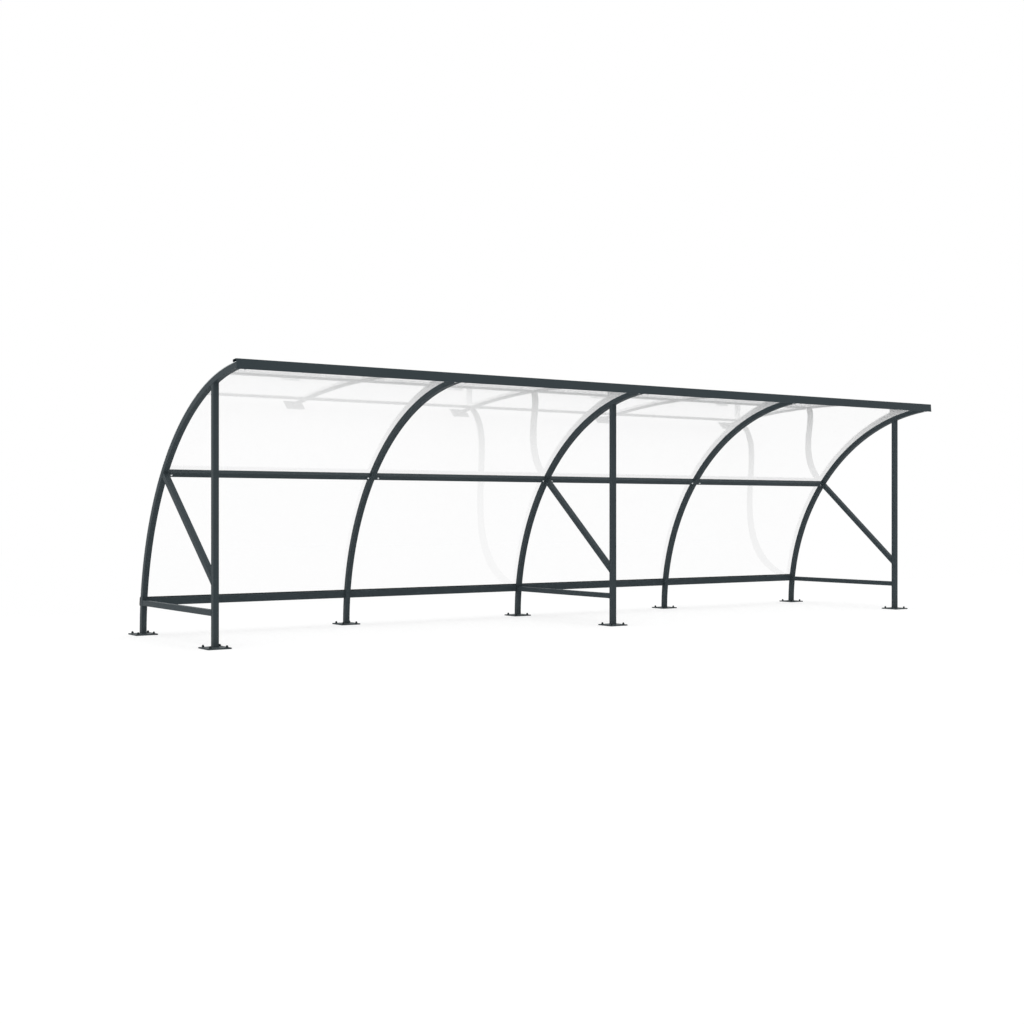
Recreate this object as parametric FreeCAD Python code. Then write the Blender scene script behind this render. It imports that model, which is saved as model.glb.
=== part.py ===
"""Arched canopy shelter: five curved steel ribs under clear roof sheets.

Millimetres. +X runs along the shelter, -Y is the open front, +Z is up. The origin is on the
ground, under the middle of the whole shelter. Every rib is one arc about a line along X, the
hub line. An angle is measured at the hub line, from the ground behind, up and forwards.
"""
import FreeCAD, Part
from math import asin, cos, degrees, radians, sin
import os

V = FreeCAD.Vector

# ---- driving sizes -------------------------------------------------------------------------
BAY = 2140.0             # rib to rib, centre to centre
RIB_COUNT = 5
POST_EVERY = 2           # a front post stands under every second rib
TUBE = 50.0              # square tube of the whole frame
WALL = 3.0

RIB_RADIUS = 2330.0      # hub line to the rib's centreline
HUB_TO_POST = 664.0      # the front posts stand this far behind the hub line

PLATE = 210.0            # square base plate
PLATE_T = 12.0
ANCHOR_SPACING = 150.0   # bolt hole to bolt hole
ANCHOR_HOLE = 14.0       # clearance hole for an M12 anchor

MID_ANGLE = 39.57        # middle purlin, and the head of each brace
TOP_ANGLE = 85.4         # top purlin, flush with the end of the ribs
BRACE_SLOPE = 40.0       # brace above the horizontal
TIE_HEIGHT = 298.0       # centreline of the side ties

SPIGOT_LENGTH = 60.0     # short tube on a rib's side that a purlin slides over
SPIGOT_WALL = 4.0

SHEET_T = 5.0            # clear roof sheet
SHEET_JOINT = 4.0        # gap between two sheets, over a rib

RAIL_DEPTH = 80.0        # bottom rail, measured along the arc
RAIL_T = 20.0
RAIL_WALL = 2.0
RAIL_ROUND = 12.0        # its two outer corners
RAIL_HEIGHT = 298.0      # middle of the bottom rail above the hub line
CAP_T = 3.0              # head of the plastic cap on each end of the bottom rail
CAP_WALL = 2.0
CAP_PLUG = 15.0          # how far a cap reaches into the rail
SEAL_T = 5.0             # rubber strip between the bottom rail and the sheets
SEAL_WIDTH = 8.0

FASCIA_TOP = 70.0        # top leg, over the sheets
FASCIA_T = 3.0
FOLD = 3.0               # inside radius of its folds
FASCIA_DROP = 9.0        # how far the front leg hangs below the top purlin
FASCIA_LIP = 21.0        # short leg at the back, from the top down to the sheets
FASCIA_OVERHANG = 7.0    # past the outer side of each end rib

# ---- clearances ----------------------------------------------------------------------------
SEAT = 0.3               # between a curved face and what is welded or laid on it
END_GAP = 0.3            # between a purlin's end and the rib
SLIDE = 1.0              # between a spigot and the purlin over it
PLUG_GAP = 0.3           # around a cap inside the end of the bottom rail
FRONT_GAP = 0.5          # between the top purlin and the fascia

# ---- worked out from the sizes above -------------------------------------------------------
HUB_Z = PLATE_T          # the arcs leave their base plates upright
RIB_IN = RIB_RADIUS - TUBE / 2
RIB_OUT = RIB_RADIUS + TUBE / 2
SHEET_IN = RIB_OUT + SEAT
SHEET_OUT = SHEET_IN + SHEET_T
RAIL_RADIUS = RIB_OUT + SEAT + RAIL_T / 2
RAIL_ANGLE = degrees(asin(RAIL_HEIGHT / RAIL_RADIUS))
SHEET_START = RAIL_ANGLE + degrees(asin((RAIL_DEPTH / 2 + SEAL_T) / SHEET_IN))
RIB_END = TOP_ANGLE + degrees(asin(TUBE / 2 / RIB_RADIUS))
FASCIA_FRONT = TUBE / 2 + FRONT_GAP + FASCIA_T      # ahead of the top purlin's centre
FASCIA_LOW = TUBE / 2 + FASCIA_DROP                 # below the top purlin's centre
HALF_LENGTH = BAY * (RIB_COUNT - 1) / 2
RIB_X = [BAY * i - HALF_LENGTH for i in range(RIB_COUNT)]
POST_X = RIB_X[::POST_EVERY]

# The deepest points at the front and the back put the origin in the middle.
FRONT = (RIB_RADIUS * cos(radians(TOP_ANGLE)) - FASCIA_FRONT * sin(radians(TOP_ANGLE))
         - FASCIA_LOW * cos(radians(TOP_ANGLE)))
BACK = RIB_RADIUS + PLATE / 2
HUB_Y = -(FRONT + BACK) / 2
POST_Y = HUB_Y + HUB_TO_POST
HUB = V(0, HUB_Y, HUB_Z)
ALONG = V(1, 0, 0)


# ---- small helpers -------------------------------------------------------------------------
def centred_rectangle(across, deep):
    """A closed outline in the XY plane about the origin."""
    x, y = across / 2, deep / 2
    return Part.makePolygon([V(-x, -y), V(x, -y), V(x, y), V(-x, y), V(-x, -y)])


def hollow_face(across, deep, wall):
    """The cut face of a rectangular tube, in the XY plane."""
    bore = centred_rectangle(across - 2 * wall, deep - 2 * wall)
    bore.reverse()
    return Part.Face([centred_rectangle(across, deep), bore])


def on_arc(shape, angle, radius, x=0.0):
    """Turn a shape drawn with Y outwards and Z along the arc, and move it onto the arc."""
    shape.translate(V(x, HUB_Y + radius, HUB_Z))
    shape.rotate(HUB, ALONG, angle)
    return shape


def tube_along_x(start, end, outwards, tangential, wall):
    """A tube along X, with its depth outwards along Y and along the arc in Z."""
    face = hollow_face(tangential, outwards, wall)
    face.rotate(V(), V(0, 1, 0), 90)
    face.translate(V(start, 0, 0))
    return face.extrude(V(end - start, 0, 0))


def edges_at(shape, y, z):
    """The long edges along X at that Y and Z."""
    return [e for e in shape.Edges
            if all(abs(v.Y - y) < 0.01 and abs(v.Z - z) < 0.01 for v in e.Vertexes)]


def inside_arc(radius):
    """Everything nearer to the hub line than radius, for coping an end to a rib."""
    length = 2 * HALF_LENGTH + 4 * TUBE
    return Part.makeCylinder(radius, length, V(-length / 2, HUB_Y, HUB_Z), ALONG)


def behind_posts():
    """Everything behind the back face of the posts."""
    length = 2 * HALF_LENGTH + 4 * TUBE
    size = 2 * RIB_OUT
    return Part.makeBox(length, size, size, V(-length / 2, POST_Y + TUBE / 2, 0))


# ---- the pieces ----------------------------------------------------------------------------
def base_plate(x, y):
    plate = Part.makeBox(PLATE, PLATE, PLATE_T, V(x - PLATE / 2, y - PLATE / 2, 0))
    for dx in (-ANCHOR_SPACING / 2, ANCHOR_SPACING / 2):
        for dy in (-ANCHOR_SPACING / 2, ANCHOR_SPACING / 2):
            hole = Part.makeCylinder(ANCHOR_HOLE / 2, PLATE_T, V(x + dx, y + dy, 0))
            plate = plate.cut(hole)
    return plate


def spigot(x, side, angle):
    """Short tube welded to one side of a rib."""
    size = TUBE - 2 * WALL - 2 * SLIDE
    ends = sorted((side * TUBE / 2, side * (TUBE / 2 + SPIGOT_LENGTH)))
    return on_arc(tube_along_x(*ends, size, size, SPIGOT_WALL), angle, RIB_RADIUS, x)


def rib(x):
    """Square tube rolled to one arc, with a spigot for each purlin that meets it."""
    face = hollow_face(TUBE, TUBE, WALL)
    face.translate(V(x, HUB_Y + RIB_RADIUS, HUB_Z))
    sides = [side for side in (-1, 1) if abs(x + side * BAY) < HALF_LENGTH + TUBE]
    spigots = [spigot(x, side, angle) for side in sides for angle in (MID_ANGLE, TOP_ANGLE)]
    return face.revolve(HUB, ALONG, RIB_END).fuse(spigots)


def front_post(x):
    """Upright tube, coped at the top to the underside of its rib."""
    face = hollow_face(TUBE, TUBE, WALL)
    face.translate(V(x, POST_Y, PLATE_T))
    return face.extrude(V(0, 0, RIB_OUT)).common(inside_arc(RIB_IN - SEAT))


def side_tie(x):
    """Low level tube from a post back to its rib."""
    face = hollow_face(TUBE, TUBE, WALL)
    face.rotate(V(), ALONG, 90)
    face.translate(V(x, POST_Y + TUBE / 2, TIE_HEIGHT))
    return face.extrude(V(0, RIB_OUT, 0)).common(inside_arc(RIB_IN - SEAT))


def diagonal_brace(x):
    """Sloping tube from a post up to its rib, square to the rib at the middle purlin."""
    slope = radians(BRACE_SLOPE)
    face = hollow_face(TUBE, TUBE, WALL)
    face.rotate(V(), ALONG, 90 + BRACE_SLOPE)
    angle = radians(MID_ANGLE)
    face.translate(V(x, HUB_Y + RIB_RADIUS * cos(angle), HUB_Z + RIB_RADIUS * sin(angle)))
    brace = face.extrude(V(0, -cos(slope), -sin(slope)) * RIB_OUT)
    return brace.common(inside_arc(RIB_IN - SEAT)).common(behind_posts())


def purlin(bay, angle):
    """Tube between two ribs, square to the arc, slid over their spigots."""
    half = (BAY - TUBE) / 2 - END_GAP
    tube = tube_along_x(-half, half, TUBE, TUBE, WALL)
    return on_arc(tube, angle, RIB_RADIUS, RIB_X[bay] + BAY / 2)


def rail_form(start, end, inset=0.0):
    """A solid bar with the bottom rail's outline, drawn in by inset all round."""
    thick, deep = RAIL_T - 2 * inset, RAIL_DEPTH - 2 * inset
    bar = Part.makeBox(end - start, thick, deep, V(start, -thick / 2, -deep / 2))
    outer = [edge for side in (-1, 1) for edge in edges_at(bar, thick / 2, side * deep / 2)]
    return bar.makeFillet(RAIL_ROUND - inset, outer)


def bottom_rail():
    """Flat tube on the outside of the ribs, below the sheets, with its outer corners round."""
    ends = (RIB_X[0] - TUBE / 2 + CAP_T, RIB_X[-1] + TUBE / 2 - CAP_T)
    return on_arc(rail_form(*ends).cut(rail_form(*ends, RAIL_WALL)), RAIL_ANGLE, RAIL_RADIUS)


def rail_end(side):
    """Plastic cap for one end of the bottom rail: a head, and a hollow plug inside the rail."""
    end = HALF_LENGTH + TUBE / 2
    tip, seat, foot = (side * (end - back) for back in (0, CAP_T, CAP_T + CAP_PLUG))
    head = rail_form(*sorted((tip, seat)))
    plug = rail_form(*sorted((seat, foot)), RAIL_WALL + PLUG_GAP)
    hollow = rail_form(*sorted((seat, foot)), RAIL_WALL + PLUG_GAP + CAP_WALL)
    return on_arc(head.fuse(plug).cut(hollow), RAIL_ANGLE, RAIL_RADIUS)


def bottom_seal():
    """Rubber strip along the top of the bottom rail, which the sheets stand on."""
    length = 2 * HALF_LENGTH + TUBE
    strip = Part.makeBox(length, SEAL_WIDTH, SEAL_T, V(-length / 2, -RAIL_T / 2, RAIL_DEPTH / 2))
    return on_arc(strip, RAIL_ANGLE, RAIL_RADIUS)


def roof_sheet(bay):
    """Clear sheet bent over one bay, from the bottom seal up to the fascia."""
    left = RIB_X[bay] - TUBE / 2 if bay == 0 else RIB_X[bay] + SHEET_JOINT / 2
    last = bay == RIB_COUNT - 2
    right = RIB_X[bay + 1] + TUBE / 2 if last else RIB_X[bay + 1] - SHEET_JOINT / 2
    outline = Part.makePlane(right - left, SHEET_T, V(left, HUB_Y + SHEET_IN, HUB_Z))
    outline.rotate(HUB, ALONG, SHEET_START)
    return outline.revolve(HUB, ALONG, RIB_END - SHEET_START)


def fascia():
    """Folded steel along the front: a tall leg, a top leg over the sheets and a short lip."""
    front, low = FASCIA_FRONT, -FASCIA_LOW
    back = front - FASCIA_TOP
    lip = SHEET_OUT + SEAT - RIB_RADIUS
    top = lip + FASCIA_LIP
    t = FASCIA_T
    outline = [(low, front), (top, front), (top, back), (lip, back), (lip, back + t),
               (top - t, back + t), (top - t, front - t), (low, front - t), (low, front)]
    length = 2 * HALF_LENGTH + TUBE + 2 * FASCIA_OVERHANG
    face = Part.Face(Part.makePolygon([V(-length / 2, out, ahead) for out, ahead in outline]))
    folded = face.extrude(V(length, 0, 0))
    for ahead, inside in ((front, front - t), (back, back + t)):
        folded = folded.makeFillet(FOLD, edges_at(folded, top - t, inside))
        folded = folded.makeFillet(FOLD + t, edges_at(folded, top, ahead))
    return on_arc(folded, TOP_ANGLE, RIB_RADIUS)


def all_nodes():
    """Every piece of the shelter, by its name."""
    nodes = {}
    for i, x in enumerate(RIB_X, 1):
        nodes[f"rib_{i}"] = rib(x)
        nodes[f"rib_base_plate_{i}"] = base_plate(x, HUB_Y + RIB_RADIUS)
    for i, x in enumerate(POST_X, 1):
        nodes[f"front_post_{i}"] = front_post(x)
        nodes[f"post_base_plate_{i}"] = base_plate(x, POST_Y)
        nodes[f"side_tie_{i}"] = side_tie(x)
        nodes[f"diagonal_brace_{i}"] = diagonal_brace(x)
    for bay in range(RIB_COUNT - 1):
        nodes[f"middle_purlin_{bay + 1}"] = purlin(bay, MID_ANGLE)
        nodes[f"top_purlin_{bay + 1}"] = purlin(bay, TOP_ANGLE)
        nodes[f"roof_sheet_{bay + 1}"] = roof_sheet(bay)
    nodes["bottom_rail"] = bottom_rail()
    nodes["bottom_rail_end_left"] = rail_end(-1)
    nodes["bottom_rail_end_right"] = rail_end(1)
    nodes["bottom_seal"] = bottom_seal()
    nodes["fascia"] = fascia()
    return nodes


os.makedirs("parts", exist_ok=True)
for name, shape in all_nodes().items():
    shape.exportStep(f"parts/{name}.step")
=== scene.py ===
"""The looks of an arched canopy shelter: coated steel tube, clear bent sheets and their fixings.

Metres. +X runs along the shelter, -Y is the open front, +Z is up. Every rib is one arc about the
hub line, which runs along X. An angle is measured there, from the ground behind, up and forwards.
"""
import bmesh
import bpy
from math import asin, atan2, cos, pi, radians, sin, sqrt
from mathutils import Matrix, Vector


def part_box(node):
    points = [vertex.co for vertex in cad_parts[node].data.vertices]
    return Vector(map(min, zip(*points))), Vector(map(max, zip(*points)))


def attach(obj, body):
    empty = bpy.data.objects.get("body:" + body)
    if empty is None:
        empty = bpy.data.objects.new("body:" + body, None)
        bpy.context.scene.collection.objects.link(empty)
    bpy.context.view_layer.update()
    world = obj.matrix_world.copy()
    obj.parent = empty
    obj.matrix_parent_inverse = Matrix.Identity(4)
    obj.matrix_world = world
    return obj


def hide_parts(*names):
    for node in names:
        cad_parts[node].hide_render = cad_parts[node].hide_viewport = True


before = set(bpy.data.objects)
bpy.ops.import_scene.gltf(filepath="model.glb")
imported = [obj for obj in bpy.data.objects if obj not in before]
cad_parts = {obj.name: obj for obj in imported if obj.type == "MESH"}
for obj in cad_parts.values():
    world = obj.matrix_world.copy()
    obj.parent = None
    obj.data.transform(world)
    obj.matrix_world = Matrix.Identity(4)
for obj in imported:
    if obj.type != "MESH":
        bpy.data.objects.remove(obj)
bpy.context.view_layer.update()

# ---- sizes that the frame doesn't give -----------------------------------------------------
WALL = 0.003
CORNER = 0.001           # the square tube's corners are nearly sharp
CORNER_STEPS = 3         # facets round a corner
SEAT = 0.0003            # a curved face stands this far from what is fixed to it
ARC_STEPS = 96           # along a rib or a sheet
CREASE = radians(35)     # faces that turn more than this from each other shade apart

BRACE_SLOPE = radians(40)
SPIGOT_LENGTH = 0.060
SPIGOT_WALL = 0.004
SLIDE = 0.001            # between a spigot and the purlin over it

SHEET_T = 0.005
SHEET_EDGE = 0.0006      # broken edge of a sawn sheet
SHEET_INDEX = 1.585      # refractive index of polycarbonate
RAIL_DEPTH, RAIL_T, RAIL_WALL = 0.080, 0.020, 0.002
RAIL_ROUND = 0.012       # its two outer corners
LINING_DEPTH, LINING_T = 0.070, 0.026   # tubes along the bottom rail, between the ribs
SEAL_T, SEAL_WIDTH = 0.005, 0.008       # rubber strip between the bottom rail and the sheets

FASCIA_T = 0.003
FASCIA_EDGE = FASCIA_T / 8              # broken edge of the cut sheet
FOLD = 0.003             # inside radius of a fold
FRONT_GAP = 0.0005       # between the top purlin and the fascia
FASCIA_DROP = 0.009      # how far the fascia hangs below the top purlin
FASCIA_TOP = 0.070
FASCIA_LIP = 0.021

BEAD = 0.0022            # radius of a weld bead
EDGE = 0.0006            # broken edge of a cut plate or moulding
EDGE_STEPS = 2           # facets across a broken edge
FLAT = radians(1)        # faces that turn less than this from each other are one face
SHARP = radians(60)      # an edge whose faces turn more than this is broken

ANCHOR_SPACING = 0.150
ANCHOR_THREAD = 0.012
PURLIN_THREAD = 0.010
BOLT_FROM_RIB = 0.031    # purlin bolt, from the side of the rib
RAIL_THREAD = 0.008
SCREW_THREAD = 0.006
SCREW_FROM_JOINT = 0.013
SCREWS_UP_A_RIB = 7
SCREW_MARGIN = radians(5)               # from the rail and the fascia to a row's end screws

# Fixings, as shares of their thread.
WASHER_RADIUS, WASHER_T = 1.0, 0.2
HEXAGON_RADIUS = 0.915                  # to its corners
BOLT_HEAD, CAP_NUT = 0.64, 0.8          # how tall the hexagon is
DOME_RADIUS, DOME_SINK = 0.78, 0.08     # the ball on a cap nut, and how low its middle sits
SEALING_RADIUS = 1.5                    # the washer under a screw
BUTTON_RADIUS, BUTTON_HEIGHT, BUTTON_ROUND = 0.9, 0.4, 0.3

# Fixings, whatever their thread.
SEALING_T = 0.0012
STUD_EDGE, WASHER_EDGE, SEALING_EDGE, HEXAGON_EDGE = 0.0002, 0.0003, 0.0004, 0.0008

# ---- places, from the frame ----------------------------------------------------------------


def middle(node):
    """The middle of a CAD node's box."""
    low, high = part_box(node)
    return (low + high) / 2


def numbered(start):
    """The numbers of the nodes named start_1, start_2 and so on."""
    names = [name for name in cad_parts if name.rpartition("_")[0] == start]
    return sorted(int(name.rpartition("_")[2]) for name in names)


RIBS = numbered("rib")
POSTS = numbered("front_post")
BAYS = numbered("roof_sheet")
post_low, post_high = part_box("front_post_1")
TUBE = post_high.x - post_low.x
POST_Y = middle("front_post_1").y
POST_BACK = post_high.y
PLATE_T = post_low.z

# One arc stands upright at the ribs' feet and passes through the middle purlins.
foot, purlin = middle("rib_base_plate_1"), middle("middle_purlin_1")
back, rise = foot.y - purlin.y, purlin.z - PLATE_T
RIB_RADIUS = (back**2 + rise**2) / (2 * back)
HUB = Vector((0, foot.y - RIB_RADIUS, PLATE_T))
RIB_INSIDE = RIB_RADIUS - TUBE / 2 - SEAT
SHEET_IN = RIB_RADIUS + TUBE / 2 + SEAT
SHEET_OUT = SHEET_IN + SHEET_T
RAIL_RADIUS = SHEET_IN + RAIL_T / 2
LINING_RADIUS = RAIL_RADIUS - RAIL_T / 2 - SEAT - LINING_T / 2
ROUGH_LENGTH = RIB_RADIUS / 2           # of a tube whose end is then slid to the rib


def angle_of(node):
    """How far up the arc a CAD node's middle is."""
    to_middle = middle(node) - HUB
    return atan2(to_middle.z, to_middle.y)


MID_ANGLE = angle_of("middle_purlin_1")
TOP_ANGLE = angle_of("top_purlin_1")
# The rubber seal lies along the rail's upper edge, on its inner side.
RAIL_ANGLE = angle_of("bottom_seal") - atan2(RAIL_DEPTH / 2 + SEAL_T / 2,
                                             RAIL_RADIUS - RAIL_T / 2 + SEAL_WIDTH / 2)
RIB_END = TOP_ANGLE + asin(TUBE / 2 / RIB_RADIUS)
SHEET_START = RAIL_ANGLE + asin((RAIL_DEPTH / 2 + SEAL_T) / SHEET_IN)
RIB_X = [middle(f"rib_base_plate_{i}").x for i in RIBS]
POST_X = [middle(f"post_base_plate_{i}").x for i in POSTS]


def on_arc(x, angle, radius, facing=1):
    """A place on an arc, with Z pointing away from the hub line, or to it where facing is -1."""
    turn = Matrix.Rotation(angle, 4, "X") @ Matrix.Translation((x, radius, 0))
    return Matrix.Translation(HUB) @ turn @ Matrix.Rotation(-facing * pi / 2, 4, "X")


def along_arc(x, angle, radius):
    """A place on an arc, with Z pointing along the shelter and Y away from the hub line."""
    turn = Matrix.Rotation(angle, 4, "X") @ Matrix.Translation((x, radius, 0))
    return Matrix.Translation(HUB) @ turn @ Matrix.Rotation(pi / 2, 4, "Y")


# ---- materials -----------------------------------------------------------------------------
NOISE_RANGE = {"From Min": 0.3, "From Max": 0.7}        # most of a noise lies in it
FACTOR, COLOUR_A, COLOUR_B, MIXED = 0, 6, 7, 2          # sockets of a node that mixes colours


def paint(hex_colour):
    """An sRGB hex colour as linear RGBA."""
    channels = [int(hex_colour[i:i + 2], 16) / 255 for i in (1, 3, 5)]
    linear = [c / 12.92 if c <= 0.04045 else ((c + 0.055) / 1.055) ** 2.4 for c in channels]
    return (*linear, 1)


def per(millimetres):
    """The scale of a pattern that repeats every so many millimetres."""
    return 1000 / millimetres


def add(tree, kind, settings=(), links=()):
    """Add a node, set its sockets and properties, and link sockets to its inputs."""
    node = tree.nodes.new(kind)
    for name, value in dict(settings).items():
        if isinstance(name, int) or name in node.inputs:
            node.inputs[name].default_value = value
        else:
            setattr(node, name, value)
    for name, source in dict(links).items():
        tree.links.new(source, node.inputs[name])
    return node


def new_material(name):
    """An empty node material, its tree, and the place on the shelter that a pattern reads."""
    material = bpy.data.materials.new(name)
    material.use_nodes = True
    material.node_tree.nodes.clear()
    tree = material.node_tree
    place = add(tree, "ShaderNodeTexCoord").outputs["Object"]
    return material, tree, place


def powder_coat(name, peel_mm, peel_height):
    """Polyester powder baked on steel: satin, even in colour, with a fine orange peel."""
    material, tree, place = new_material(name)
    drift = add(tree, "ShaderNodeTexNoise", {"Scale": per(700), "Detail": 3}, {"Vector": place})
    # The powder's grain is about 0.3 mm and is drawn coarser, so that it shows.
    grain = add(tree, "ShaderNodeTexNoise", {"Scale": per(4), "Detail": 2}, {"Vector": place})
    dark, light = paint("#384145"), paint("#3F484C")
    tone = add(tree, "ShaderNodeMix", {"data_type": "RGBA", COLOUR_A: dark, COLOUR_B: light},
               {FACTOR: drift.outputs["Fac"]})
    speck = add(tree, "ShaderNodeMapRange", {**NOISE_RANGE, "To Min": 0.96, "To Max": 1.04},
                {"Value": grain.outputs["Fac"]})
    # Rain splashes a thin film of dust over the lowest quarter of a metre.
    height = add(tree, "ShaderNodeSeparateXYZ", (), {"Vector": place})
    splash = add(tree, "ShaderNodeMapRange",
                 {"From Min": 0.25, "From Max": 0, "To Min": 0, "To Max": 0.04},
                 {"Value": height.outputs["Z"]})
    dusty = add(tree, "ShaderNodeMix", {"data_type": "RGBA", COLOUR_B: paint("#8C8A84")},
                {FACTOR: splash.outputs["Result"], COLOUR_A: tone.outputs[MIXED]})
    colour = add(tree, "ShaderNodeVectorMath", {"operation": "SCALE"},
                 {0: dusty.outputs[MIXED], "Scale": speck.outputs["Result"]})
    rough = add(tree, "ShaderNodeMapRange", {**NOISE_RANGE, "To Min": 0.46, "To Max": 0.56},
                {"Value": drift.outputs["Fac"]})
    peel = add(tree, "ShaderNodeTexNoise", {"Scale": per(peel_mm), "Detail": 1}, {"Vector": place})
    bump = add(tree, "ShaderNodeBump", {"Strength": 1, "Distance": peel_height},
               {"Height": peel.outputs["Fac"]})
    shader = add(tree, "ShaderNodeBsdfPrincipled", {"IOR": 1.5, "Specular IOR Level": 0.08},
                 {"Base Color": colour.outputs["Vector"], "Roughness": rough.outputs["Result"],
                  "Normal": bump.outputs["Normal"]})
    add(tree, "ShaderNodeOutputMaterial", (), {"Surface": shader.outputs["BSDF"]})
    return material


def plated_steel(name, dark, light, roughness):
    """Plated steel fixings: metal with the cloudy crystals of the bath that they came from."""
    material, tree, place = new_material(name)
    cloud = add(tree, "ShaderNodeTexVoronoi", {"Scale": per(3)}, {"Vector": place})
    tone = add(tree, "ShaderNodeMix",
               {"data_type": "RGBA", COLOUR_A: paint(dark), COLOUR_B: paint(light)},
               {FACTOR: cloud.outputs["Distance"]})
    rough = add(tree, "ShaderNodeMapRange",
                {"To Min": roughness - 0.06, "To Max": roughness + 0.08},
                {"Value": cloud.outputs["Distance"]})
    bump = add(tree, "ShaderNodeBump", {"Strength": 0.5, "Distance": 0.00005},
               {"Height": cloud.outputs["Distance"]})
    shader = add(tree, "ShaderNodeBsdfPrincipled", {"Metallic": 1},
                 {"Base Color": tone.outputs[MIXED], "Roughness": rough.outputs["Result"],
                  "Normal": bump.outputs["Normal"]})
    add(tree, "ShaderNodeOutputMaterial", (), {"Surface": shader.outputs["BSDF"]})
    return material


def clear_sheet():
    """Extruded polycarbonate: clear and glossy, with a faint film of dust. Both faces mirror."""
    material, tree, place = new_material("clear_polycarbonate")
    film = add(tree, "ShaderNodeTexNoise", {"Scale": per(160), "Detail": 6}, {"Vector": place})
    wave = add(tree, "ShaderNodeBump", {"Strength": 1, "Distance": 0.00002},
               {"Height": film.outputs["Fac"]})
    # From inside the sheet the Fresnel node turns its index over, so that is undone here.
    side = add(tree, "ShaderNodeNewGeometry").outputs["Backfacing"]
    index = add(tree, "ShaderNodeMapRange", {"To Min": SHEET_INDEX, "To Max": 1 / SHEET_INDEX},
                {"Value": side})
    fresnel = add(tree, "ShaderNodeFresnel", (),
                  {"IOR": index.outputs["Result"], "Normal": wave.outputs["Normal"]})
    # Seen square on, each face mirrors less than its index says, and about as it says elsewhere.
    steep, start, elsewhere = 1.77, -0.072, 1.12
    square_on = add(tree, "ShaderNodeMath", {"operation": "MULTIPLY_ADD", 1: steep, 2: start},
                    {0: fresnel.outputs["Fac"]})
    aslant = add(tree, "ShaderNodeMath", {"operation": "MULTIPLY", 1: elsewhere},
                 {0: fresnel.outputs["Fac"]})
    mirrored = add(tree, "ShaderNodeMath", {"operation": "MINIMUM", "use_clamp": True},
                   {0: square_on.outputs[0], 1: aslant.outputs[0]})
    clean, dusty = (1, 1, 1, 1), (0.995, 0.995, 0.996, 1)
    dust = add(tree, "ShaderNodeMix", {"data_type": "RGBA", COLOUR_A: clean, COLOUR_B: dusty},
               {FACTOR: film.outputs["Fac"]})
    # The way through the sheet is longer aslant, so it dulls more of what is behind.
    clear = add(tree, "ShaderNodeMapRange",
                {"From Min": 0.05, "From Max": 0.25, "To Min": 0.995, "To Max": 0.96},
                {"Value": fresnel.outputs["Fac"]})
    tint = add(tree, "ShaderNodeVectorMath", {"operation": "SCALE"},
               {0: dust.outputs[MIXED], "Scale": clear.outputs["Result"]})
    through = add(tree, "ShaderNodeBsdfTransparent", (), {"Color": tint.outputs["Vector"]})
    rough = add(tree, "ShaderNodeMapRange", {**NOISE_RANGE, "To Min": 0.01, "To Max": 0.04},
                {"Value": film.outputs["Fac"]})
    gloss = add(tree, "ShaderNodeBsdfAnisotropic", {"Color": (1, 1, 1, 1)},
                {"Roughness": rough.outputs["Result"], "Normal": wave.outputs["Normal"]})
    face = add(tree, "ShaderNodeMixShader", (),
               {FACTOR: mirrored.outputs[0], 1: through.outputs["BSDF"], 2: gloss.outputs["BSDF"]})
    add(tree, "ShaderNodeOutputMaterial", (), {"Surface": face.outputs["Shader"]})
    return material


def sawn_edge():
    """The sawn edge of the sheet: frosted, and pale with the light that the sheet gathers."""
    material, tree, place = new_material("sawn_polycarbonate_edge")
    marks = add(tree, "ShaderNodeTexNoise", {"Scale": per(2), "Detail": 3}, {"Vector": place})
    tone = add(tree, "ShaderNodeMix",
               {"data_type": "RGBA", COLOUR_A: paint("#C9D0D2"), COLOUR_B: paint("#E6EAEA")},
               {FACTOR: marks.outputs["Fac"]})
    bump = add(tree, "ShaderNodeBump", {"Strength": 1, "Distance": 0.0001},
               {"Height": marks.outputs["Fac"]})
    shader = add(tree, "ShaderNodeBsdfPrincipled", {"Roughness": 0.5, "IOR": SHEET_INDEX},
                 {"Base Color": tone.outputs[MIXED], "Normal": bump.outputs["Normal"]})
    add(tree, "ShaderNodeOutputMaterial", (), {"Surface": shader.outputs["BSDF"]})
    return material


def black_moulding(name, dark, light, grain_mm, grain_height, roughness):
    """Black plastic or rubber: even, with the fine grain of its mould or die."""
    material, tree, place = new_material(name)
    bloom = add(tree, "ShaderNodeTexNoise", {"Scale": per(60), "Detail": 3}, {"Vector": place})
    tone = add(tree, "ShaderNodeMix",
               {"data_type": "RGBA", COLOUR_A: paint(dark), COLOUR_B: paint(light)},
               {FACTOR: bloom.outputs["Fac"]})
    rough = add(tree, "ShaderNodeMapRange",
                {"To Min": roughness - 0.06, "To Max": roughness + 0.06},
                {"Value": bloom.outputs["Fac"]})
    grain = add(tree, "ShaderNodeTexNoise", {"Scale": per(grain_mm), "Detail": 2},
                {"Vector": place})
    bump = add(tree, "ShaderNodeBump", {"Strength": 1, "Distance": grain_height},
               {"Height": grain.outputs["Fac"]})
    shader = add(tree, "ShaderNodeBsdfPrincipled", {"IOR": 1.5, "Specular IOR Level": 0.1},
                 {"Base Color": tone.outputs[MIXED], "Roughness": rough.outputs["Result"],
                  "Normal": bump.outputs["Normal"]})
    add(tree, "ShaderNodeOutputMaterial", (), {"Surface": shader.outputs["BSDF"]})
    return material


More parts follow.
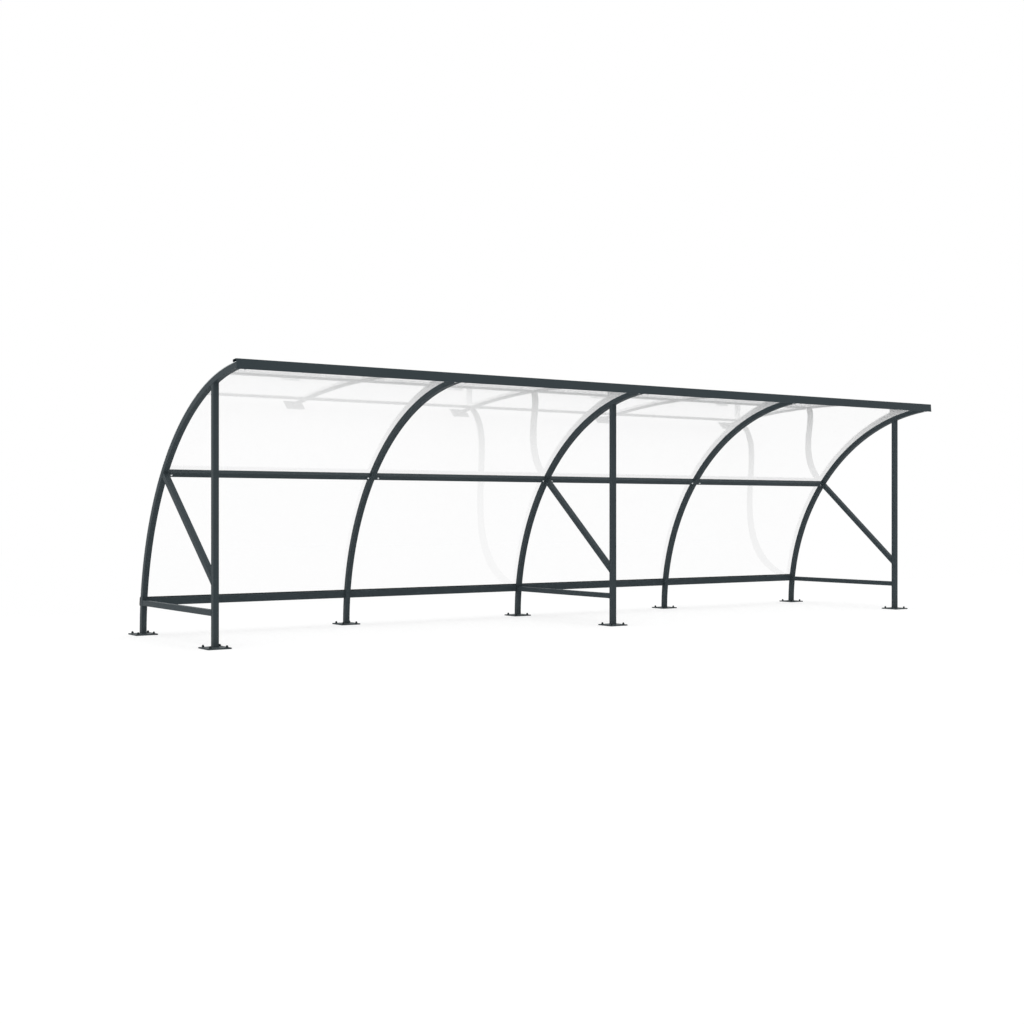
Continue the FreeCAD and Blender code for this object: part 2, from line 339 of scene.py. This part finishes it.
COATING = powder_coat("anthracite_powder_coat", peel_mm=1.6, peel_height=0.00002)
COATED_WELD = powder_coat("powder_coated_weld", peel_mm=3, peel_height=0.0006)
BRIGHT_ZINC = plated_steel("bright_zinc_plate", "#C2C6C8", "#E2E5E6", roughness=0.28)
BLACK_STEEL = plated_steel("blackened_steel", "#24282A", "#33383A", roughness=0.42)
BLACK_CAP = black_moulding("moulded_polyethylene_cap", "#101112", "#18191A", grain_mm=1.2,
                           grain_height=0.00003, roughness=0.55)
SEAL_RUBBER = black_moulding("extruded_epdm_rubber", "#0B0B0B", "#121212", grain_mm=2.0,
                             grain_height=0.00002, roughness=0.75)
CLEAR = clear_sheet()
SAWN = sawn_edge()


# ---- making pieces -------------------------------------------------------------------------
def new_object(name, data):
    """An object in the scene, at the origin."""
    made = bpy.data.objects.new(name, data)
    bpy.context.scene.collection.objects.link(made)
    return made


def smooth(made):
    """Smooth shading that keeps flat faces flat and sharp edges creased."""
    made.data.shade_smooth()
    made.data.set_sharp_from_angle(angle=CREASE)
    weighting = made.modifiers.new("flat_faces", "WEIGHTED_NORMAL")
    weighting.keep_sharp = True


def piece(name, bm, slot, *materials, replaces=()):
    """Turn a bmesh into a finished piece that rides with the shelter."""
    bmesh.ops.recalc_face_normals(bm, faces=bm.faces[:])
    mesh = bpy.data.meshes.new(name)
    bm.to_mesh(mesh)
    bm.free()
    for material in materials:
        mesh.materials.append(material)
    made = new_object(name, mesh)
    smooth(made)
    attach(made, "root")
    if replaces:
        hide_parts(*replaces)


def rectangle(across, deep, corner, outer=None):
    """The corners of a rectangle about the origin. The two on its outer side may be rounder."""
    x, y = across / 2, deep / 2
    outer = outer or corner
    return [(-x, -y, corner), (x, -y, corner), (x, y, outer), (-x, y, outer)]


def outline(bm, corners):
    """A flat face in the XY plane. A corner is its x, its y and the radius that rounds it."""
    others = set(bm.faces)
    verts = [bm.verts.new((x, y, 0)) for x, y, _ in corners]
    bm.faces.new(verts)
    for vert, (_, _, radius) in zip(verts, corners):
        bmesh.ops.bevel(bm, geom=[vert], affect="VERTICES", offset=radius, segments=CORNER_STEPS,
                        profile=0.5, material=-1)
    face, = set(bm.faces) - others
    return face


def tube_section(bm, across, deep, wall, corner=CORNER, outer=None):
    """The cut face of a tube, whose corners are about as sharp inside as outside."""
    skin = outline(bm, rectangle(across, deep, corner, outer))
    bore = outline(bm, rectangle(across - 2 * wall, deep - 2 * wall, corner,
                                 outer and outer - wall))
    ring = bmesh.ops.bridge_loops(bm, edges=skin.edges[:] + bore.edges[:])["faces"]
    bmesh.ops.delete(bm, geom=[skin, bore], context="FACES_ONLY")
    return ring


def extrude(bm, faces, place, length):
    """Draw a section out along Z and put it in its place. Gives the vertices of its two ends."""
    start = list({vert for face in faces for vert in face.verts})
    far = bmesh.ops.extrude_face_region(bm, geom=faces)["geom"]
    end = [item for item in far if isinstance(item, bmesh.types.BMVert)]
    bmesh.ops.translate(bm, verts=end, vec=(0, 0, length))
    bmesh.ops.transform(bm, verts=start + end, matrix=place)
    return start, end


def slide_to_ribs(verts, way):
    """Slide vertices along way until they meet the inner side of the ribs."""
    for vert in verts:
        out = vert.co - HUB
        out.x = 0
        lead = out.dot(way)
        vert.co += way * (sqrt(lead**2 - out.length_squared + RIB_INSIDE**2) - lead)


def slide_to_posts(verts, way):
    """Slide vertices along way until they meet the back of the posts."""
    for vert in verts:
        vert.co += way * ((POST_BACK - vert.co.y) / way.y)


def steel_tube(name, place, length, cope=(None, None)):
    """A coated square tube for the CAD node of its name, with each end slid to what it meets."""
    bm = bmesh.new()
    way = place.to_3x3() @ Vector((0, 0, 1))
    ends = extrude(bm, tube_section(bm, TUBE, TUBE, WALL), place, length)
    for verts, slide in zip(ends, cope):
        if slide:
            slide(verts, way)
    piece(f"{name}_tube", bm, "powder_coated_steel", COATING, replaces=[name])


def weld(name, seams):
    """Weld beads round the ends of tubes. A seam is a tube's place, and how its end is slid."""
    curve = bpy.data.curves.new(name, "CURVE")
    curve.dimensions = "3D"
    curve.bevel_depth = BEAD
    curve.bevel_resolution = 1
    for place, slide in seams:
        bm = bmesh.new()
        face = outline(bm, rectangle(TUBE, TUBE, CORNER))
        bmesh.ops.transform(bm, verts=face.verts[:], matrix=place)
        if slide:
            slide(face.verts, place.to_3x3() @ Vector((0, 0, 1)))
        spline = curve.splines.new("POLY")
        spline.points.add(len(face.verts) - 1)
        for point, vert in zip(spline.points, face.verts):
            point.co = (*vert.co, 1)
        spline.use_cyclic_u = True
        bm.free()
    curve.materials.append(COATED_WELD)
    made = new_object(name, curve)
    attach(made, "root")


# ---- the frame -----------------------------------------------------------------------------
def rib(i, x):
    """Square tube rolled to the arc, with a short spigot for each purlin that meets it."""
    bm = bmesh.new()
    tube_section(bm, TUBE, TUBE, WALL)
    foot_place = Matrix.Translation((x, HUB.y + RIB_RADIUS, HUB.z))
    bmesh.ops.transform(bm, verts=bm.verts[:], matrix=foot_place)
    bmesh.ops.spin(bm, geom=bm.faces[:] + bm.edges[:] + bm.verts[:], cent=HUB, axis=(1, 0, 0),
                   angle=RIB_END, steps=ARC_STEPS)
    spigot = TUBE - 2 * WALL - 2 * SLIDE
    for side in (-1, 1):
        if RIB_X[0] < x + side * TUBE < RIB_X[-1]:
            start = x + TUBE / 2 if side > 0 else x - TUBE / 2 - SPIGOT_LENGTH
            for angle in (MID_ANGLE, TOP_ANGLE):
                extrude(bm, tube_section(bm, spigot, spigot, SPIGOT_WALL),
                        along_arc(start, angle, RIB_RADIUS), SPIGOT_LENGTH)
    piece(f"rib_{i}_tube", bm, "powder_coated_steel", COATING, replaces=[f"rib_{i}"])
    weld(f"rib_{i}_foot_weld", [(foot_place, None)])


def post_frame(i, x):
    """A front post, its side tie and its diagonal brace, welded to each other and to the rib."""
    upright = Matrix.Translation((x, POST_Y, PLATE_T))
    level = (Matrix.Translation((x, POST_BACK, middle(f"side_tie_{i}").z))
             @ Matrix.Rotation(-pi / 2, 4, "X"))
    head = HUB + Vector((x, RIB_RADIUS * cos(MID_ANGLE), RIB_RADIUS * sin(MID_ANGLE)))
    reach = (head.y - POST_BACK) / cos(BRACE_SLOPE)
    foot_of_brace = head - reach * Vector((0, cos(BRACE_SLOPE), sin(BRACE_SLOPE)))
    sloping = Matrix.Translation(foot_of_brace) @ Matrix.Rotation(BRACE_SLOPE - pi / 2, 4, "X")
    steel_tube(f"front_post_{i}", upright, ROUGH_LENGTH, cope=(None, slide_to_ribs))
    steel_tube(f"side_tie_{i}", level, ROUGH_LENGTH, cope=(None, slide_to_ribs))
    steel_tube(f"diagonal_brace_{i}", sloping, reach, cope=(slide_to_posts, slide_to_ribs))
    weld(f"post_frame_{i}_welds",
         [(upright, None), (upright, slide_to_ribs), (level, None), (level, slide_to_ribs),
          (sloping, slide_to_posts), (sloping, slide_to_ribs)])


def purlin_tube(node, angle):
    """A square tube along the shelter, as long as its CAD node."""
    low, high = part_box(node)
    steel_tube(node, along_arc(low.x, angle, RIB_RADIUS), high.x - low.x)


def bottom_rail():
    """Flat tube on the outside of the ribs, with its two outer corners round."""
    low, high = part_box("bottom_rail")
    bm = bmesh.new()
    extrude(bm, tube_section(bm, RAIL_DEPTH, RAIL_T, RAIL_WALL, outer=RAIL_ROUND),
            along_arc(low.x, RAIL_ANGLE, RAIL_RADIUS), high.x - low.x)
    piece("bottom_rail_tube", bm, "powder_coated_steel", COATING, replaces=["bottom_rail"])


def rail_lining(bay):
    """Flat tube along the inner side of the bottom rail, from one rib to the next."""
    low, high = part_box(f"middle_purlin_{bay}")
    bm = bmesh.new()
    extrude(bm, tube_section(bm, LINING_DEPTH, LINING_T, RAIL_WALL),
            along_arc(low.x, RAIL_ANGLE, LINING_RADIUS), high.x - low.x)
    piece(f"bottom_rail_lining_{bay}", bm, "powder_coated_steel", COATING)


def softened(node, slot, material):
    """A copy of a CAD node with its sharp edges broken."""
    bm = bmesh.new()
    bm.from_mesh(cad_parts[node].data)
    bmesh.ops.remove_doubles(bm, verts=bm.verts[:], dist=1e-6)
    bmesh.ops.dissolve_limit(bm, angle_limit=FLAT, verts=bm.verts[:], edges=bm.edges[:])
    sharp = [edge for edge in bm.edges if edge.calc_face_angle(0) > SHARP]
    bmesh.ops.bevel(bm, geom=sharp, affect="EDGES", offset=EDGE, segments=EDGE_STEPS,
                    profile=0.5, material=-1)
    piece(f"{node}_softened", bm, slot, material, replaces=[node])


def fascia():
    """Sheet steel folded twice: a tall front leg, a top leg over the sheets and a short lip."""
    low = -TUBE / 2 - FASCIA_DROP
    lip = SHEET_OUT + SEAT - RIB_RADIUS
    top = lip + FASCIA_LIP
    front = -TUBE / 2 - FRONT_GAP - FASCIA_T
    rear = front + FASCIA_TOP
    inside, outside = FOLD, FOLD + FASCIA_T
    start, end = (corner.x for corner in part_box("fascia"))
    bm = bmesh.new()
    section = outline(bm, [
        (front, low, FASCIA_EDGE), (front, top, outside), (rear, top, outside),
        (rear, lip, FASCIA_EDGE), (rear - FASCIA_T, lip, FASCIA_EDGE),
        (rear - FASCIA_T, top - FASCIA_T, inside), (front + FASCIA_T, top - FASCIA_T, inside),
        (front + FASCIA_T, low, FASCIA_EDGE)])
    extrude(bm, [section], along_arc(start, TOP_ANGLE, RIB_RADIUS), end - start)
    piece("fascia_folded", bm, "powder_coated_steel", COATING, replaces=["fascia"])


# ---- the roof ------------------------------------------------------------------------------
def roof_sheet(bay):
    """One clear sheet bent over its bay, from the rubber seal up to the fascia."""
    node = f"roof_sheet_{bay}"
    low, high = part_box(node)
    bm = bmesh.new()
    outline(bm, rectangle(high.x - low.x, SHEET_T, SHEET_EDGE))
    place = (Matrix.Translation(HUB) @ Matrix.Rotation(SHEET_START, 4, "X")
             @ Matrix.Translation(((low.x + high.x) / 2, SHEET_IN + SHEET_T / 2, 0)))
    bmesh.ops.transform(bm, verts=bm.verts[:], matrix=place)
    bmesh.ops.spin(bm, geom=bm.faces[:] + bm.edges[:] + bm.verts[:], cent=HUB, axis=(1, 0, 0),
                   angle=RIB_END - SHEET_START, steps=ARC_STEPS)
    for face in bm.faces:
        out = face.calc_center_median() - HUB
        from_middle = abs(sqrt(out.y**2 + out.z**2) - SHEET_IN - SHEET_T / 2)
        face.material_index = int(from_middle < SHEET_T / 2 - SHEET_EDGE)
    piece(f"{node}_bent", bm, "clear_sheet", CLEAR, SAWN, replaces=[node])


# ---- the fixings ---------------------------------------------------------------------------
def disc(bm, place, low, radius, height, segments, edge):
    """A short cylinder or prism that stands on place, with its upper edge broken."""
    centre = place @ Matrix.Translation((0, 0, low + height / 2))
    verts = bmesh.ops.create_cone(bm, cap_ends=True, segments=segments, radius1=radius,
                                  radius2=radius, depth=height, matrix=centre)["verts"]
    upper = [v for v in verts if (place.inverted() @ v.co).z > low + height / 2]
    rim = {e for v in upper for e in v.link_edges if e.other_vert(v) in upper}
    bmesh.ops.bevel(bm, geom=list(rim), affect="EDGES", offset=edge, segments=EDGE_STEPS,
                    profile=0.5, material=-1)


def washer_and_hexagon(bm, place, thread, height):
    """A plain washer and a hexagon whose height is a share of the thread. Gives its top."""
    washer, hexagon = WASHER_T * thread, height * thread
    disc(bm, place, 0, WASHER_RADIUS * thread, washer, segments=24, edge=WASHER_EDGE)
    disc(bm, place, washer, HEXAGON_RADIUS * thread, hexagon, segments=6, edge=HEXAGON_EDGE)
    return washer + hexagon


def button_screw(bm, place, thread):
    """Sealing washer and low round head."""
    disc(bm, place, 0, SEALING_RADIUS * thread, SEALING_T, segments=20, edge=SEALING_EDGE)
    disc(bm, place, SEALING_T, BUTTON_RADIUS * thread, BUTTON_HEIGHT * thread, segments=16,
         edge=BUTTON_ROUND * thread)


def anchor_bolts(plate):
    """Four studs through the holes of a base plate, with washers and domed cap nuts."""
    bm = bmesh.new()
    centre = middle(plate)
    for dx in (-ANCHOR_SPACING / 2, ANCHOR_SPACING / 2):
        for dy in (-ANCHOR_SPACING / 2, ANCHOR_SPACING / 2):
            place = Matrix.Translation((centre.x + dx, centre.y + dy, PLATE_T))
            disc(bm, place, -PLATE_T, ANCHOR_THREAD / 2, PLATE_T, segments=12, edge=STUD_EDGE)
            top = washer_and_hexagon(bm, place, ANCHOR_THREAD, CAP_NUT)
            dome = place @ Matrix.Translation((0, 0, top - DOME_SINK * ANCHOR_THREAD))
            bmesh.ops.create_uvsphere(bm, u_segments=16, v_segments=10,
                                      radius=DOME_RADIUS * ANCHOR_THREAD, matrix=dome)
    piece(plate.replace("base_plate", "anchor_bolts"), bm, "powder_coated_steel", BLACK_STEEL)


def purlin_bolts(row, angle):
    """A zinc plated bolt through each purlin end into its spigot, from inside the shelter."""
    bm = bmesh.new()
    for bay in BAYS:
        low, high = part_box(f"{row}_{bay}")
        for x in (low.x + BOLT_FROM_RIB, high.x - BOLT_FROM_RIB):
            place = on_arc(x, angle, RIB_RADIUS - TUBE / 2, facing=-1)
            washer_and_hexagon(bm, place, PURLIN_THREAD, BOLT_HEAD)
    piece(f"{row}_bolts", bm, "powder_coated_steel", BRIGHT_ZINC)


def sheet_screws(i, x):
    """Screws through the sheets into a rib: one row on an end rib, else one row a sheet."""
    bm = bmesh.new()
    ends = (RIB_X[0], RIB_X[-1])
    low, high = RAIL_ANGLE + SCREW_MARGIN, TOP_ANGLE - SCREW_MARGIN
    for offset in (0,) if x in ends else (-SCREW_FROM_JOINT, SCREW_FROM_JOINT):
        for step in range(SCREWS_UP_A_RIB):
            angle = low + (high - low) * step / (SCREWS_UP_A_RIB - 1)
            button_screw(bm, on_arc(x + offset, angle, SHEET_OUT), SCREW_THREAD)
    piece(f"sheet_screws_{i}", bm, "powder_coated_steel", BRIGHT_ZINC)


def rail_bolts():
    """A bolt through the bottom rail into each rib, from behind."""
    bm = bmesh.new()
    for x in RIB_X:
        button_screw(bm, on_arc(x, RAIL_ANGLE, RAIL_RADIUS + RAIL_T / 2), RAIL_THREAD)
    piece("rail_bolts", bm, "powder_coated_steel", BRIGHT_ZINC)


for number, across_x in zip(RIBS, RIB_X):
    rib(number, across_x)
    softened(f"rib_base_plate_{number}", "powder_coated_steel", COATING)
    anchor_bolts(f"rib_base_plate_{number}")
    sheet_screws(number, across_x)
for number, across_x in zip(POSTS, POST_X):
    post_frame(number, across_x)
    softened(f"post_base_plate_{number}", "powder_coated_steel", COATING)
    anchor_bolts(f"post_base_plate_{number}")
for number in BAYS:
    purlin_tube(f"middle_purlin_{number}", MID_ANGLE)
    purlin_tube(f"top_purlin_{number}", TOP_ANGLE)
    roof_sheet(number)
    rail_lining(number)
bottom_rail()
for end in ("left", "right"):
    softened(f"bottom_rail_end_{end}", "black_plastic", BLACK_CAP)
softened("bottom_seal", "black_rubber", SEAL_RUBBER)
fascia()
purlin_bolts("middle_purlin", MID_ANGLE)
purlin_bolts("top_purlin", TOP_ANGLE)
rail_bolts()


# ---- floor, light and camera ---------------------------------------------------------------
FLOOR_SIZE = 60.0
FLOOR_GLOW = 0.5         # so much of the floor's white takes no shadow
ROOF_GLOW = 0.05         # painted light that lifts the clear roof's faint shadow off the floor
ROOF_GLOW_FADES = 2, 4   # from where to where behind the shelter's middle
FLOOR_BOUNCE = 0.8       # how white the floor is for the light that it gives the shelter
WORLD_LEVEL = 0.6
OVERHEAD_TILT = radians(15)
OVERHEAD_WIDTH = radians(120)
LENS, SENSOR = 50, 36    # millimetres
CAMERA_TO_POST = Vector((9.074, 11.183, 0))     # from the camera to the middle post
CAMERA_HEIGHT = 1.145
CAMERA_YAW = radians(35)


def seen(tree):
    """1 for the camera, mirrors and glass, and 0 for the light that a matt surface gathers."""
    path = add(tree, "ShaderNodeLightPath")
    straight = add(tree, "ShaderNodeMath", {"operation": "MAXIMUM"},
                   {0: path.outputs["Is Camera Ray"], 1: path.outputs["Is Glossy Ray"]})
    return add(tree, "ShaderNodeMath", {"operation": "MAXIMUM"},
               {0: straight.outputs[0], 1: path.outputs["Is Transmission Ray"]}).outputs[0]


def studio_floor():
    """Plain white floor, which keeps the soft shadow of the shelter, save the clear roof's faint
    shadow, which painted light lifts.
    """
    material, tree, place = new_material("studio_floor")
    straight = seen(tree)
    white = add(tree, "ShaderNodeMapRange", {"To Min": FLOOR_BOUNCE, "To Max": 1 - FLOOR_GLOW},
                {"Value": straight})
    matt = add(tree, "ShaderNodeBsdfDiffuse", (), {"Color": white.outputs["Result"]})
    # The painted light that lifts the roof's shadow fades out behind the shelter.
    behind = add(tree, "ShaderNodeSeparateXYZ", (), {"Vector": place}).outputs["Y"]
    near, far = ROOF_GLOW_FADES
    glow = add(tree, "ShaderNodeMapRange", {"From Min": near, "From Max": far,
                                            "To Min": FLOOR_GLOW + ROOF_GLOW,
                                            "To Max": FLOOR_GLOW}, {"Value": behind})
    shown = add(tree, "ShaderNodeMath", {"operation": "MULTIPLY"},
                {0: glow.outputs["Result"], 1: straight})
    lit = add(tree, "ShaderNodeEmission", {"Color": (1, 1, 1, 1)}, {"Strength": shown.outputs[0]})
    both = add(tree, "ShaderNodeAddShader", (), {0: matt.outputs[0], 1: lit.outputs[0]})
    add(tree, "ShaderNodeOutputMaterial", (), {"Surface": both.outputs[0]})
    bm = bmesh.new()
    bmesh.ops.create_grid(bm, x_segments=1, y_segments=1, size=FLOOR_SIZE / 2)
    mesh = bpy.data.meshes.new("studio_floor")
    bm.to_mesh(mesh)
    bm.free()
    mesh.materials.append(material)
    floor = new_object("studio_floor", mesh)


def studio_world():
    """White all round, at a lower level for what lights the shelter."""
    world = bpy.data.worlds.new("studio")
    bpy.context.scene.world = world
    world.use_nodes = True
    tree = world.node_tree
    tree.nodes.clear()
    level = add(tree, "ShaderNodeMapRange", {"To Min": WORLD_LEVEL, "To Max": 1},
                {"Value": seen(tree)})
    back_light = add(tree, "ShaderNodeBackground", {"Color": (1, 1, 1, 1)},
                     {"Strength": level.outputs["Result"]})
    add(tree, "ShaderNodeOutputWorld", (), {"Surface": back_light.outputs[0]})


def overhead_light():
    """A wide and even light from above, a little to the left."""
    lamp = bpy.data.lights.new("overhead_light", "SUN")
    lamp.energy = pi * (1 - WORLD_LEVEL) / cos(OVERHEAD_TILT)
    lamp.angle = OVERHEAD_WIDTH
    made = new_object("overhead_light", lamp)
    made.rotation_euler = (0, -OVERHEAD_TILT, 0)


def camera():
    """At chest height, in front of the shelter and well to its left, looking level."""
    lens = bpy.data.cameras.new("camera")
    lens.lens = LENS
    lens.sensor_width = SENSOR
    made = new_object("camera", lens)
    centre_post = Vector((POST_X[len(POST_X) // 2], POST_Y, CAMERA_HEIGHT))
    made.location = centre_post - CAMERA_TO_POST
    made.rotation_euler = (pi / 2, 0, -CAMERA_YAW)
    bpy.context.scene.camera = made


studio_floor()
studio_world()
overhead_light()
camera()
bpy.context.scene.view_settings.view_transform = "Standard"
